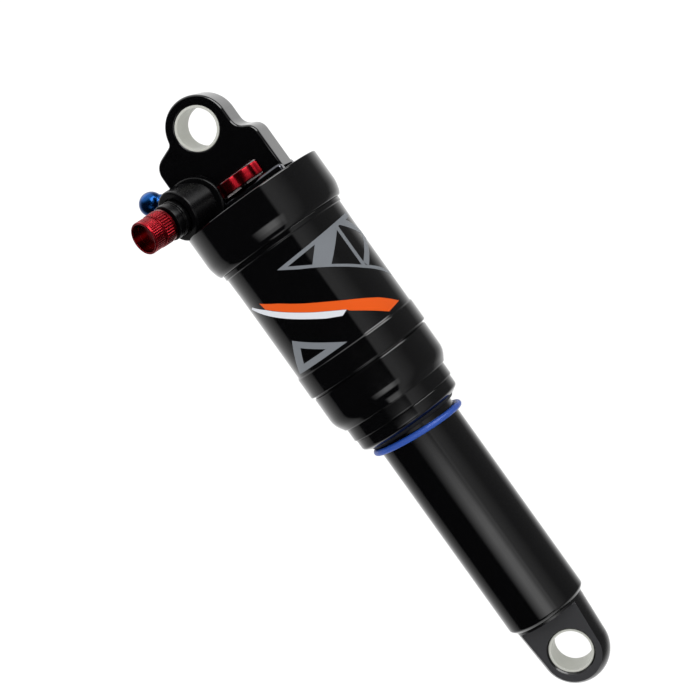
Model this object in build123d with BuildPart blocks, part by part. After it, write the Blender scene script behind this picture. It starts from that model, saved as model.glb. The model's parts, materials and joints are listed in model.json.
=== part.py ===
from build123d import *
import math
import os

# Air-sprung rear shock for a bicycle, millimetres.
# +Z runs up the shock's axis, the eyelet bores run along Y, and +X is to the right seen from the
# front. The origin is the middle of the upper eyelet's bore.

# Driving dimensions
eye_to_eye = 200.0
stroke = 57.0
bolt_r = 6.35
eye_width = 12.7
bush_wall = 0.85
air_bore_r = 19.0
stanchion_r = 13.75
stanchion_wall = 2.25
shaft_r = 4.5
sleeve_wall = 2.35

# Clearances: threads and static seats, running fits, and free gaps between bodies
seat_gap = 0.02
run_gap = 0.05
free_gap = 0.3

# Upper head: eyelet, plate and cap in one machined piece
upper_eye_wall = 3.2
plate_left = 18.7
plate_left_top = 2.2
plate_slope = 0.36
plate_right = 15.5
plate_right_top = 9.2
plate_corner_r = 4.0
plate_neck_r = 3.5
plate_edge = 0.9
foot_rise = 2.2
foot_spread = 1.5
foot_slope = 20
cap_top = -26.2
cap_overhang = 2.8
cap_edge = 0.7
cap_taper_top = -37.8
cap_bottom = -41.9
cap_taper = 0.8
cap_bore_top = -31.4
chamber_top = -29.0
shaft_boss_r = 8.0
shaft_boss_drop = 3.0
head_dial_wall = 1.0

# Air sleeve
sleeve_thread_r = air_bore_r + 1.6
collar_step = 0.55
collar_bottom = -43.4
band_step = 0.4
band_top = -81.1
band_bottom = -88.8
band_groove = 0.5
lower_can_wall = 2.05
shoulder_bottom = -103.0
neck_wall = 2.35
neck_bottom = -107.6
end_wall_top = -98.4

# Seals and bushes in the neck
housing_step = 0.5
housing_bottom = -111.2
housing_lip_bottom = -112.3
housing_spigot_wall = 2.35
housing_spigot_top = -103.6
can_bush_wall = 1.1
can_bush_length = 4.6
can_seal_length = 2.2
can_seal_depth = 1.7
wiper_wall = 1.85
wiper_lip_wall = 0.95
wiper_top = -109.4
wiper_bottom = -113.4
sag_ring_section_r = 1.05
sag_ring_gap = 0.6

# Damper
air_piston_top = -91.0
air_piston_skirt = 6.2
air_piston_r = air_bore_r - free_gap
seal_head_bottom = -104.6
stanchion_bottom = -186.4
stanchion_edge = 1.4
eyelet_shoulder = 1.6
eyelet_end_r = 11.2
eyelet_end_drop = 0.9
plug_top = -179.8
flat_top = 12.9
flat_side_gap = 0.1
flat_corner_r = 2.0
bore_edge = 0.5
lower_bush_recess = 0.8
main_piston_top = -107.3
main_piston_height = 5.5
shim_thickness = 0.35
shim_count = 3
nut_height = 2.2
floating_piston_top = -165.6
floating_piston_height = 5.0
bumper_height = 3.6

# Rebound dial and metering rod
dial_r = 11.1
dial_top = -18.3
dial_bottom = -22.5
dial_lobes = 10
dial_scallop_r = 1.9
dial_scallop_depth = 0.9
rod_r = 1.2
rod_bottom = -114.0

# Air valve, on its own axis in the plane of the dial
valve_angle = 36.5
valve_height = -18.7
valve_start = (-14.4, -eye_width / 2)
valve_boss_r = 8.5
valve_pad_r = 9.9
valve_pad_height = 4.5
valve_boss_end = 8.6
valve_bore_start = 1.3
valve_thread_r = 4.2
valve_stem_r = 3.85
valve_stem_end = 19.7
valve_flange_r = 5.85
valve_flange_end = 13.4
valve_cap_r = 5.35
valve_cap_start = 13.9
valve_cap_end = 23.7
valve_core_r = 2.1
valve_pin_r = 0.7

# Lockout lever on the plate's rear face
lever_x = -15.2
lever_z = -18.7
lever_hub_r = 5.0
lever_hub_depth = 4.6
lever_reach = 19.4
lever_rise_angle = 30.3
lever_ball_r = 4.1
lever_neck_r = 2.6
lever_root_r = 2.4
spindle_r = 1.9
spindle_depth = 3.6

half_eye = eye_width / 2
bush_r = bolt_r + bush_wall
upper_eye_r = bush_r + upper_eye_wall
sleeve_r = air_bore_r + sleeve_wall
lower_can_r = air_bore_r + lower_can_wall
cap_r = sleeve_r + cap_overhang
cap_bottom_r = cap_r - cap_taper
oil_bore_r = stanchion_r - stanchion_wall
housing_spigot_r = stanchion_r + housing_spigot_wall
neck_r = housing_spigot_r + neck_wall
housing_r = neck_r - housing_step
wiper_r = stanchion_r + wiper_wall
wiper_lip_r = stanchion_r + wiper_lip_wall
eyelet_body_r = stanchion_r - eyelet_shoulder
shoulder_r = lower_can_r - neck_r
lower_eye_z = -eye_to_eye
eyelet_end_z = lower_eye_z - eyelet_end_drop
air_piston_mid = air_piston_top - air_piston_skirt
bush_bore_r = stanchion_r + run_gap
piston_thread_r = oil_bore_r - seat_gap


def turned(corners, mode=Mode.ADD):
    """A piece turned about the Z axis, from its (radius, height) corners."""
    with BuildSketch(Plane.XZ) as section:
        with BuildLine():
            Polyline(*corners, close=True)
        make_face()
    revolve(section.sketch, axis=Axis.Z, mode=mode)


def ring(inner, outer, top, bottom, mode=Mode.ADD):
    """A plain ring about the Z axis."""
    turned([(inner, bottom), (outer, bottom), (outer, top), (inner, top)], mode)


def seal_ring(middle_r, section_r, height):
    """A round-section rubber ring about the Z axis."""
    with BuildSketch(Plane.XZ) as section:
        with Locations((middle_r, height)):
            Circle(section_r)
    revolve(section.sketch, axis=Axis.Z)


def bar(plane, radius, length, mode=Mode.ADD):
    """A round bar that starts on a plane and runs along its normal."""
    with BuildSketch(plane) as section:
        Circle(radius)
    extrude(section.sketch, amount=length, mode=mode)


def across(x, y, z):
    """A plane whose normal runs along +Y."""
    return Plane(origin=(x, y, z), x_dir=(1, 0, 0), z_dir=(0, 1, 0))


def valve_plane(distance):
    """The plane square to the air valve's axis, a distance out along it."""
    turn = math.radians(valve_angle)
    out = Vector(-math.sin(turn), -math.cos(turn), 0)
    start = Vector(valve_start[0], valve_start[1], valve_height)
    return Plane(origin=start + out * distance, x_dir=(0, 0, 1), z_dir=out)


# Seal rings and their grooves
head_ring_r = 0.7
head_ring_middle = (air_bore_r + sleeve_thread_r) / 2
sleeve_top = cap_bore_top - 2 * head_ring_r - 2 * seat_gap
dial_pocket_r = dial_r + free_gap
dial_pocket_top = dial_top + free_gap
dial_pocket_floor = dial_bottom - free_gap
shaft_top = dial_pocket_floor - head_dial_wall
passage_r = 1.0
passage_at = valve_plane(valve_bore_start + 0.3).origin
detent_r = 1.0
detent_x = 7.0
detent_hole = 3.6

# --- Fixed with the air can ---

with BuildPart() as upper_head:
    slope_end = plate_left - upper_eye_r / 2
    slope_top = -plate_left_top + slope_end * plate_slope
    with BuildSketch(Plane.XZ) as outline:
        with BuildLine():
            Polyline(
                (-plate_left, -plate_left_top),
                (slope_end - plate_left, slope_top),
                (upper_eye_r - 0.1, -1.0),
                (upper_eye_r - 0.1, -plate_right_top + 2.6),
                (plate_right, -plate_right_top),
                (plate_right, cap_top - 1.0),
                (-plate_left, cap_top - 1.0),
                close=True,
            )
        make_face()
        fillet(outline.vertices().sort_by_distance((-plate_left, -plate_left_top))[0], plate_corner_r)
        fillet(outline.vertices().sort_by_distance((plate_right, -plate_right_top))[0], plate_corner_r)
        fillet(outline.vertices().sort_by_distance((upper_eye_r, 2.6 - plate_right_top))[0], plate_neck_r)
        Circle(upper_eye_r)
        fillet(outline.vertices().sort_by_distance((-upper_eye_r, 0.8))[0], plate_neck_r)
    extrude(amount=half_eye, both=True)
    chamfer(upper_head.faces().filter_by(Axis.Y).edges(), plate_edge)
    with BuildSketch(Plane.XY.offset(cap_top)) as foot:
        with Locations(((plate_right - plate_left) / 2, 0)):
            Rectangle(plate_left + plate_right + 2 * foot_spread, eye_width + 2 * foot_spread)
    extrude(foot.sketch, amount=foot_rise, taper=foot_slope)
    turned([
        (0, cap_top), (cap_r - cap_edge, cap_top), (cap_r, cap_top - cap_edge),
        (cap_r, cap_taper_top), (cap_bottom_r, cap_bottom + 1.2),
        (cap_bottom_r - cap_edge, cap_bottom), (0, cap_bottom),
    ])
    bar(Plane(origin=(*valve_start, valve_height), z_dir=(0, -1, 0)), valve_pad_r, valve_pad_height)
    bar(valve_plane(-4.0), valve_boss_r, valve_boss_end + 4.0)
    ring(0, sleeve_thread_r + seat_gap, cap_bore_top, cap_bottom, Mode.SUBTRACT)
    ring(0, air_bore_r, chamber_top, cap_bore_top, Mode.SUBTRACT)
    ring(0, shaft_boss_r, chamber_top, chamber_top - shaft_boss_drop)
    bar(across(0, -half_eye, 0), bush_r, eye_width, Mode.SUBTRACT)
    ring(0, dial_pocket_r, dial_pocket_top, dial_pocket_floor, Mode.SUBTRACT)
    ring(0, rod_r + free_gap, dial_pocket_floor, shaft_top, Mode.SUBTRACT)
    ring(0, shaft_r, shaft_top, chamber_top - shaft_boss_drop, Mode.SUBTRACT)
    bar(valve_plane(valve_bore_start), valve_thread_r, valve_boss_end, Mode.SUBTRACT)
    bar(valve_plane(valve_boss_end), valve_flange_r + free_gap, valve_flange_end, Mode.SUBTRACT)
    bar(Plane((passage_at.X, passage_at.Y, chamber_top)), passage_r,
        valve_height - chamber_top, Mode.SUBTRACT)
    bar(across(lever_x, half_eye - spindle_depth, lever_z), spindle_r + run_gap,
        spindle_depth, Mode.SUBTRACT)
    bar(Plane((detent_x, 0, dial_pocket_floor - detent_hole)), detent_r + seat_gap,
        detent_hole, Mode.SUBTRACT)

with BuildPart() as upper_bush:
    bar(across(0, -half_eye, 0), bush_r, eye_width)
    bar(across(0, -half_eye, 0), bolt_r, eye_width, Mode.SUBTRACT)

with BuildPart() as air_sleeve:
    turned([
        (air_bore_r, sleeve_top), (sleeve_thread_r, sleeve_top), (sleeve_thread_r, cap_bottom),
        (sleeve_r + collar_step, cap_bottom), (sleeve_r + collar_step, collar_bottom),
        (sleeve_r, collar_bottom), (sleeve_r, band_top),
        (sleeve_r + band_step, band_top - band_step), (sleeve_r + band_step, band_bottom),
        (lower_can_r - band_groove, band_bottom), (lower_can_r - band_groove, band_bottom - band_groove),
        (lower_can_r, band_bottom - 2 * band_groove), (lower_can_r, shoulder_bottom),
        (neck_r, shoulder_bottom), (neck_r, neck_bottom),
        (housing_spigot_r + seat_gap, neck_bottom), (housing_spigot_r + seat_gap, housing_spigot_top),
        (stanchion_r + free_gap, housing_spigot_top), (stanchion_r + free_gap, end_wall_top),
        (air_bore_r, end_wall_top),
    ])
    rim = air_sleeve.edges().filter_by(GeomType.CIRCLE).filter_by(
        lambda e: abs(e.center().Z - shoulder_bottom) < 0.01 and e.radius > neck_r + 0.1)
    fillet(rim, shoulder_r - 0.1)
    ring(stanchion_r, bush_bore_r + can_seal_depth, end_wall_top - 1.4,
         end_wall_top - 1.4 - can_seal_length, Mode.SUBTRACT)

with BuildPart() as can_seal:
    ring(bush_bore_r, bush_bore_r + can_seal_depth, end_wall_top - 1.4,
         end_wall_top - 1.4 - can_seal_length)

with BuildPart() as head_oring:
    seal_ring(head_ring_middle, head_ring_r, cap_bore_top - head_ring_r - seat_gap)

with BuildPart() as seal_housing:
    turned([
        (stanchion_r + free_gap, housing_spigot_top), (housing_spigot_r, housing_spigot_top),
        (housing_spigot_r, neck_bottom), (housing_r, neck_bottom), (housing_r, housing_bottom),
        (wiper_r + 0.5, housing_lip_bottom), (wiper_r, housing_lip_bottom),
        (wiper_r, wiper_top), (stanchion_r + free_gap, wiper_top),
    ])
    ring(stanchion_r, bush_bore_r + can_bush_wall, housing_spigot_top,
         housing_spigot_top - can_bush_length, Mode.SUBTRACT)

with BuildPart() as can_bush:
    ring(bush_bore_r, bush_bore_r + can_bush_wall, housing_spigot_top,
         housing_spigot_top - can_bush_length)

with BuildPart() as wiper_seal:
    turned([
        (bush_bore_r, wiper_top), (wiper_r, wiper_top), (wiper_r, housing_lip_bottom),
        (wiper_lip_r, wiper_bottom), (bush_bore_r, wiper_bottom),
        (bush_bore_r + 0.6, wiper_bottom + 1.2), (bush_bore_r + 0.6, wiper_top - 1.2),
    ])

with BuildPart() as bottom_out_bumper:
    ring(shaft_boss_r, shaft_boss_r + 5.0, chamber_top, chamber_top - bumper_height)

with BuildPart() as valve_body:
    bar(valve_plane(valve_bore_start), valve_thread_r, valve_boss_end - valve_bore_start)
    bar(valve_plane(valve_boss_end), valve_flange_r, valve_flange_end - valve_boss_end)
    bar(valve_plane(valve_flange_end), valve_stem_r, valve_stem_end - valve_flange_end)
    bar(valve_plane(valve_bore_start), valve_core_r, valve_stem_end, Mode.SUBTRACT)
    bar(Plane((passage_at.X, passage_at.Y, valve_height - valve_boss_r)), passage_r,
        valve_boss_r, Mode.SUBTRACT)

with BuildPart() as valve_core:
    bar(valve_plane(valve_bore_start + 4.0), valve_core_r, valve_stem_end - valve_bore_start - 5.0)
    bar(valve_plane(valve_bore_start + 4.0), valve_pin_r + run_gap, valve_stem_end, Mode.SUBTRACT)

with BuildPart() as detent_ball:
    with Locations((detent_x, 0, dial_pocket_floor - detent_r)):
        Sphere(detent_r)

with BuildPart() as detent_spring:
    spring_top = dial_pocket_floor - 2 * detent_r
    spring_bottom = dial_pocket_floor - detent_hole
    bar(Plane((detent_x, 0, spring_bottom)), detent_r, spring_top - spring_bottom)
    bar(Plane((detent_x, 0, spring_bottom)), detent_r - 0.35, spring_top - spring_bottom, Mode.SUBTRACT)

piston_bottom = main_piston_top - main_piston_height
shim_stack = shim_thickness * shim_count
stud_r = shaft_r - 1.5
nut_top = piston_bottom - shim_stack
nut_bottom = nut_top - nut_height
rod_bore_r = rod_r + 0.4

with BuildPart() as damper_shaft:
    turned([
        (rod_bore_r, shaft_top), (shaft_r, shaft_top), (shaft_r, main_piston_top + shim_stack),
        (stud_r, main_piston_top + shim_stack), (stud_r, nut_bottom - 0.6), (rod_bore_r, nut_bottom - 0.6),
    ])

with BuildPart() as main_piston:
    piston_r = oil_bore_r - free_gap
    band_depth = 0.8
    turned([
        (stud_r, main_piston_top), (piston_r, main_piston_top), (piston_r, main_piston_top - 1.2),
        (piston_r - band_depth, main_piston_top - 1.2), (piston_r - band_depth, piston_bottom + 1.2),
        (piston_r, piston_bottom + 1.2), (piston_r, piston_bottom), (stud_r, piston_bottom),
    ])
    with PolarLocations((stud_r + piston_r) / 2, 6):
        Hole(1.1, depth=2 * abs(piston_bottom))

with BuildPart() as piston_band:
    ring(piston_r - band_depth, oil_bore_r - run_gap, main_piston_top - 1.2, piston_bottom + 1.2)

with BuildPart() as rebound_shims:
    for layer in range(shim_count):
        shim_top = main_piston_top + shim_stack - layer * shim_thickness
        ring(stud_r, piston_r - 2.4 + 0.4 * layer, shim_top, shim_top - 0.9 * shim_thickness)

with BuildPart() as compression_shims:
    for layer in range(shim_count):
        shim_top = piston_bottom - layer * shim_thickness
        ring(stud_r, piston_r - 1.6 - 0.4 * layer, shim_top, shim_top - 0.9 * shim_thickness)

with BuildPart() as piston_nut:
    with BuildSketch(Plane.XY.offset(nut_bottom)) as hexagon:
        RegularPolygon(shaft_r + 0.6, 6)
        Circle(stud_r, mode=Mode.SUBTRACT)
    extrude(hexagon.sketch, amount=nut_height - 0.05)

# --- Moves in and out with the damper ---

stanchion_top = air_piston_mid

with BuildPart() as air_piston:
    groove_top = air_piston_top - 1.0
    seal_bottom = groove_top - 2.0
    glide_top = seal_bottom - 0.8
    glide_bottom = air_piston_mid + 0.5
    groove_r = air_piston_r - 1.4
    turned([
        (shaft_r + free_gap, air_piston_top), (air_piston_r, air_piston_top), (air_piston_r, groove_top),
        (groove_r, groove_top), (groove_r, seal_bottom), (air_piston_r, seal_bottom),
        (air_piston_r, glide_top), (groove_r, glide_top), (groove_r, glide_bottom),
        (air_piston_r, glide_bottom), (air_piston_r, air_piston_mid), (piston_thread_r, air_piston_mid),
        (piston_thread_r, seal_head_bottom), (shaft_r + free_gap, seal_head_bottom),
    ])
    bush_top = air_piston_top - 2.0
    bush_bottom = bush_top - 5.0
    shaft_seal_top = bush_bottom - 1.0
    shaft_seal_bottom = shaft_seal_top - 2.4
    ring(shaft_r, shaft_r + 1.0, bush_top, bush_bottom, Mode.SUBTRACT)
    ring(shaft_r, shaft_r + 2.2, shaft_seal_top, shaft_seal_bottom, Mode.SUBTRACT)
    head_seal_r = 0.7
    head_seal_z = seal_head_bottom + 2.0
    ring(oil_bore_r - 2 * head_seal_r, oil_bore_r + 1.0,
         head_seal_z + head_seal_r, head_seal_z - head_seal_r, Mode.SUBTRACT)

with BuildPart() as shaft_bush:
    ring(shaft_r + run_gap, shaft_r + 1.0, bush_top, bush_bottom)

with BuildPart() as shaft_seal:
    ring(shaft_r + run_gap, shaft_r + 2.2, shaft_seal_top, shaft_seal_bottom)

with BuildPart() as seal_head_oring:
    seal_ring(oil_bore_r - head_seal_r, head_seal_r - 0.01, head_seal_z)

with BuildPart() as topout_bumper:
    ring(shaft_r + free_gap, shaft_r + 3.4, seal_head_bottom, seal_head_bottom - 1.3)

with BuildPart() as air_piston_seal:
    ring(groove_r + run_gap, air_bore_r - run_gap, groove_top - run_gap, seal_bottom + run_gap)

with BuildPart() as air_piston_band:
    ring(groove_r + run_gap, air_bore_r - run_gap, glide_top - run_gap, glide_bottom + run_gap)

with BuildPart() as stanchion:
    turned([
        (oil_bore_r, stanchion_top), (stanchion_r, stanchion_top),
        (stanchion_r, stanchion_bottom + stanchion_edge),
        (stanchion_r - stanchion_edge, stanchion_bottom), (oil_bore_r, stanchion_bottom),
    ])

charge_z = lower_eye_z + flat_top - 2.7
charge_r = 1.5
charge_depth = 5.0

with BuildPart() as lower_eyelet:
    turned([
        (0, plug_top), (piston_thread_r, plug_top), (piston_thread_r, stanchion_bottom),
        (eyelet_body_r, stanchion_bottom), (eyelet_end_r, eyelet_end_z), (0, eyelet_end_z),
    ])
    with Locations((0, 0, eyelet_end_z)):
        Sphere(eyelet_end_r)
    plug_ring_r = 0.7
    plug_ring_z = plug_top - 2.0
    ring(oil_bore_r - 2 * plug_ring_r, oil_bore_r + 1.0,
         plug_ring_z + plug_ring_r, plug_ring_z - plug_ring_r, Mode.SUBTRACT)
    flat_reach_r = max(eyelet_body_r, eyelet_end_r)
    flat_half_width = math.sqrt(flat_reach_r ** 2 - half_eye ** 2) + flat_side_gap
    for side in (-1, 1):
        with BuildSketch(Plane(origin=(0, side * half_eye, 0), x_dir=(1, 0, 0),
                               z_dir=(0, side, 0))) as flat:
            with Locations((0, -side * (lower_eye_z + flat_top - 2 * eyelet_end_r))):
                RectangleRounded(2 * flat_half_width, 4 * eyelet_end_r, flat_corner_r)
        extrude(flat.sketch, amount=eyelet_body_r, mode=Mode.SUBTRACT)
    bar(across(0, -half_eye, lower_eye_z), bush_r, eye_width, Mode.SUBTRACT)
    bore_rims = lower_eyelet.edges().filter_by(GeomType.CIRCLE).filter_by(
        lambda e: abs(e.radius - bush_r) < 0.01)
    chamfer(bore_rims, bore_edge)
    bar(across(0, half_eye - charge_depth, charge_z), charge_r, charge_depth, Mode.SUBTRACT)
    bar(Plane((0, half_eye - charge_depth + 1.0, charge_z)), 0.8,
        plug_top - charge_z, Mode.SUBTRACT)

with BuildPart() as charge_screw:
    bar(across(0, half_eye - charge_depth + 2.0, charge_z), charge_r, charge_depth - 2.4)
    with BuildSketch(across(0, half_eye - 2.2, charge_z)) as socket:
        RegularPolygon(0.9, 6)
    extrude(socket.sketch, amount=3.0, mode=Mode.SUBTRACT)

with BuildPart() as end_cap_oring:
    seal_ring(oil_bore_r - plug_ring_r, plug_ring_r - 0.01, plug_ring_z)

with BuildPart() as lower_bush:
    bar(across(0, lower_bush_recess - half_eye, lower_eye_z), bush_r, eye_width - 2 * lower_bush_recess)
    bar(across(0, -half_eye, lower_eye_z), bolt_r, eye_width, Mode.SUBTRACT)

with BuildPart() as floating_piston:
    floating_r = oil_bore_r - run_gap
    floating_bottom = floating_piston_top - floating_piston_height
    ring_section = 0.75
    ring_z = floating_piston_top - floating_piston_height / 2
    turned([
        (0, floating_piston_top), (floating_r, floating_piston_top),
        (floating_r, ring_z + ring_section), (floating_r - 2 * ring_section, ring_z + ring_section),
        (floating_r - 2 * ring_section, ring_z - ring_section), (floating_r, ring_z - ring_section),
        (floating_r, floating_bottom), (6.0, floating_bottom), (6.0, floating_bottom + 1.8),
        (0, floating_bottom + 1.8),
    ])

with BuildPart() as floating_piston_oring:
    seal_ring(floating_r - ring_section + 0.01, ring_section - 0.02, ring_z)

with BuildPart() as sag_ring:
    sag_ring_z = wiper_bottom - sag_ring_gap - sag_ring_section_r
    seal_ring(bush_bore_r + sag_ring_section_r, sag_ring_section_r, sag_ring_z)

# --- Turned or pulled by hand ---

with BuildPart() as rebound_dial:
    ring(rod_r + run_gap, dial_r, dial_top, dial_bottom)
    with BuildSketch(Plane.XY.offset(dial_bottom)) as scallops:
        with PolarLocations(dial_r + dial_scallop_r - dial_scallop_depth, dial_lobes):
            Circle(dial_scallop_r)
    extrude(scallops.sketch, amount=dial_top - dial_bottom, mode=Mode.SUBTRACT)

with BuildPart() as metering_rod:
    turned([
        (0, dial_top - 1.6), (rod_r, dial_top - 1.6), (rod_r, rod_bottom + 3.0),
        (0.3, rod_bottom), (0, rod_bottom),
    ])

with BuildPart() as valve_cap:
    inner_end = valve_stem_end + free_gap
    bar(valve_plane(valve_cap_start), valve_cap_r, valve_cap_end - valve_cap_start)
    bar(valve_plane(valve_cap_start), valve_stem_r + run_gap, inner_end - valve_cap_start, Mode.SUBTRACT)
    bar(valve_plane(inner_end + 0.9), valve_cap_r - 0.75, valve_cap_end, Mode.SUBTRACT)

with BuildPart() as valve_pin:
    bar(valve_plane(valve_bore_start + 3.0), valve_pin_r, valve_stem_end - valve_bore_start - 3.4)

lever_turn = math.radians(lever_rise_angle)
lever_out = Vector(-math.cos(lever_turn), 0, math.sin(lever_turn))
lever_back = half_eye + free_gap
ball_y = half_eye + free_gap + lever_ball_r + 0.2

with BuildPart() as lockout_lever:
    bar(across(lever_x, lever_back, lever_z), lever_hub_r, lever_hub_depth)
    lever_axis = Plane(origin=(lever_x, ball_y, lever_z), x_dir=lever_out, z_dir=(0, -1, 0))
    with BuildSketch(lever_axis) as lever_half:
        Polygon((0, 0), (lever_reach, 0), (lever_reach, lever_neck_r), (0, lever_root_r), align=None)
        with Locations((lever_reach, 0)):
            Circle(lever_ball_r)
        with Locations((lever_reach, -lever_ball_r)):
            Rectangle(4 * lever_reach, 2 * lever_ball_r, mode=Mode.SUBTRACT)
    revolve(lever_half.sketch, axis=Axis((lever_x, ball_y, lever_z), lever_out))
    bar(across(lever_x, lever_back, lever_z), spindle_r, lever_hub_depth, Mode.SUBTRACT)
    screw_head_r = 2.8
    bar(across(lever_x, lever_back + lever_hub_depth - 1.2, lever_z), screw_head_r, 6.0, Mode.SUBTRACT)

with BuildPart() as lockout_spindle:
    bar(across(lever_x, half_eye - spindle_depth + run_gap, lever_z), spindle_r,
        spindle_depth + free_gap + lever_hub_depth - 1.2 - run_gap)
    bar(across(lever_x, lever_back, lever_z), 1.1, lever_hub_depth, Mode.SUBTRACT)

with BuildPart() as lever_screw:
    bar(across(lever_x, lever_back + lever_hub_depth - 1.2, lever_z), screw_head_r - seat_gap, 1.5)
    bar(across(lever_x, lever_back, lever_z), 1.1 - seat_gap, lever_hub_depth - 1.2)
    with BuildSketch(across(lever_x, lever_back + lever_hub_depth - 0.7, lever_z)) as key:
        RegularPolygon(1.3, 6)
    extrude(key.sketch, amount=3.0, mode=Mode.SUBTRACT)

pieces = {
    "upper_head": upper_head, "upper_bush": upper_bush, "air_sleeve": air_sleeve,
    "can_seal": can_seal, "head_oring": head_oring, "seal_housing": seal_housing,
    "can_bush": can_bush, "wiper_seal": wiper_seal, "bottom_out_bumper": bottom_out_bumper,
    "valve_body": valve_body, "valve_core": valve_core, "detent_ball": detent_ball,
    "detent_spring": detent_spring, "damper_shaft": damper_shaft, "main_piston": main_piston,
    "piston_band": piston_band, "rebound_shims": rebound_shims,
    "compression_shims": compression_shims, "piston_nut": piston_nut,
    "air_piston": air_piston, "shaft_bush": shaft_bush, "shaft_seal": shaft_seal,
    "seal_head_oring": seal_head_oring, "topout_bumper": topout_bumper,
    "air_piston_seal": air_piston_seal, "air_piston_band": air_piston_band,
    "stanchion": stanchion, "lower_eyelet": lower_eyelet, "charge_screw": charge_screw,
    "end_cap_oring": end_cap_oring, "lower_bush": lower_bush,
    "floating_piston": floating_piston, "floating_piston_oring": floating_piston_oring,
    "sag_ring": sag_ring, "rebound_dial": rebound_dial, "metering_rod": metering_rod,
    "valve_cap": valve_cap, "valve_pin": valve_pin, "lockout_lever": lockout_lever,
    "lockout_spindle": lockout_spindle, "lever_screw": lever_screw,
}
os.makedirs("parts", exist_ok=True)
for label, piece in pieces.items():
    piece.part.label = label
    export_step(piece.part, f"parts/{label}.step")
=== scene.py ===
import json
import math

import bmesh
import bpy
import numpy as np
from mathutils import Matrix, Vector


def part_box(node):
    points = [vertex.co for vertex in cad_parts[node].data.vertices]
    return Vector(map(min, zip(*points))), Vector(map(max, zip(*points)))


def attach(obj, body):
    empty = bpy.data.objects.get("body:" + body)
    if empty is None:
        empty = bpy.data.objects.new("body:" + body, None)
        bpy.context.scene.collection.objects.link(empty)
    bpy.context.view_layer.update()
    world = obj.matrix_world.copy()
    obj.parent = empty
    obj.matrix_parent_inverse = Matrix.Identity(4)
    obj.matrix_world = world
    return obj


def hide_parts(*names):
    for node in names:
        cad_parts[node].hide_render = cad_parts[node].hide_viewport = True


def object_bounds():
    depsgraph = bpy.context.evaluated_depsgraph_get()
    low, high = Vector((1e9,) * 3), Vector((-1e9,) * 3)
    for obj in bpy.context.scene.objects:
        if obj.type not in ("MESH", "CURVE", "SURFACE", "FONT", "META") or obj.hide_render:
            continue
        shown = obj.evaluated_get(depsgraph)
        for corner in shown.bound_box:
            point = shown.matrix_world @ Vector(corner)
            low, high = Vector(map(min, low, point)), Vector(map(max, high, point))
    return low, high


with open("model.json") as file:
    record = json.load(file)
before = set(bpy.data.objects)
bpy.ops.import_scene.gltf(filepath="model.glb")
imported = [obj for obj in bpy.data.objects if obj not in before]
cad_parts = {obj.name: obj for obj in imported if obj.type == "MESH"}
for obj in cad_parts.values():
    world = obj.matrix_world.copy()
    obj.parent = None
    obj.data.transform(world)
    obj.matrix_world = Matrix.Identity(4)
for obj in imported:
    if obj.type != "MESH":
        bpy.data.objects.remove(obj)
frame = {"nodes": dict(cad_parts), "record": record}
cad_low, cad_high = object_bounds()
MM = 0.001

# ---------------------------------------------------------------- camera
# The shock is looked at from the front, a little from its right and from just above its
# middle, through a long lens, with the camera rolled so that the upper eyelet points up left.
# Angles are in degrees, distances in metres, and the lens and sensor in millimetres.
CAMERA_AZIMUTH = 16.16
CAMERA_ELEVATION = 2.43
CAMERA_ROLL = 35.6
CAMERA_DISTANCE = 0.6228
CAMERA_SIDE = -0.00308
CAMERA_LIFT = 0.01666
SENSOR_WIDTH, LENS_LENGTH = 36.0, 102.1886

eye_to_eye = -frame["record"]["mounts"][1]["pos_m"][2]
azimuth, elevation, roll = np.radians([CAMERA_AZIMUTH, CAMERA_ELEVATION, CAMERA_ROLL])
camera_back = Vector((math.sin(azimuth) * math.cos(elevation),
                      -math.cos(azimuth) * math.cos(elevation), math.sin(elevation)))
level_right = Vector((0, 0, 1)).cross(camera_back).normalized()
level_up = camera_back.cross(level_right)
camera_right = level_right * math.cos(roll) - level_up * math.sin(roll)
camera_up = level_right * math.sin(roll) + level_up * math.cos(roll)
camera_data = bpy.data.cameras.new("camera")
camera_data.sensor_width = SENSOR_WIDTH
camera_data.lens = LENS_LENGTH
camera = bpy.data.objects.new("camera", camera_data)
bpy.context.collection.objects.link(camera)
camera_place = (Vector((0, 0, -eye_to_eye / 2)) + camera_back * CAMERA_DISTANCE
                + level_right * CAMERA_SIDE + level_up * CAMERA_LIFT)
camera.matrix_world = Matrix.Translation(camera_place) @ Matrix(
    (camera_right, camera_up, camera_back)).transposed().to_4x4()
bpy.context.scene.camera = camera
bpy.context.scene.view_settings.view_transform = "Standard"


# ---------------------------------------------------------------- studio
# A white room with a pale floor. Shiny pieces see a dark zone round the camera, with one strip
# light low in it, a soft light to the right, a key light up right, a glow on the table and a
# light overhead; the room's bright walls stand behind.
def linear(hex_colour):
    """The linear colour of an sRGB hex value, with alpha 1."""
    channels = np.array([int(hex_colour[i:i + 2], 16) for i in (1, 3, 5)]) / 255
    low = channels <= 0.04045
    return (*np.where(low, channels / 12.92, ((channels + 0.055) / 1.055) ** 2.4), 1.0)


def add(tree, kind, inputs=(), **settings):
    """Adds a node. Settings are its properties. Inputs are (socket, value) pairs, where a value
    can be a plain value, a socket to link, or a node, whose first output is then linked."""
    node = tree.nodes.new("ShaderNode" + kind)
    for key, value in settings.items():
        setattr(node, key, value)
    for socket, value in inputs:
        if isinstance(value, bpy.types.Node):
            value = value.outputs[0]
        if isinstance(value, bpy.types.NodeSocket):
            tree.links.new(value, node.inputs[socket])
        else:
            node.inputs[socket].default_value = value
    return node


ROOM_WHITE = 1.12
DARK_ZONE = 0.010
ANYWHERE = (-200.0, -199.0, 199.0, 200.0)
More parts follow.
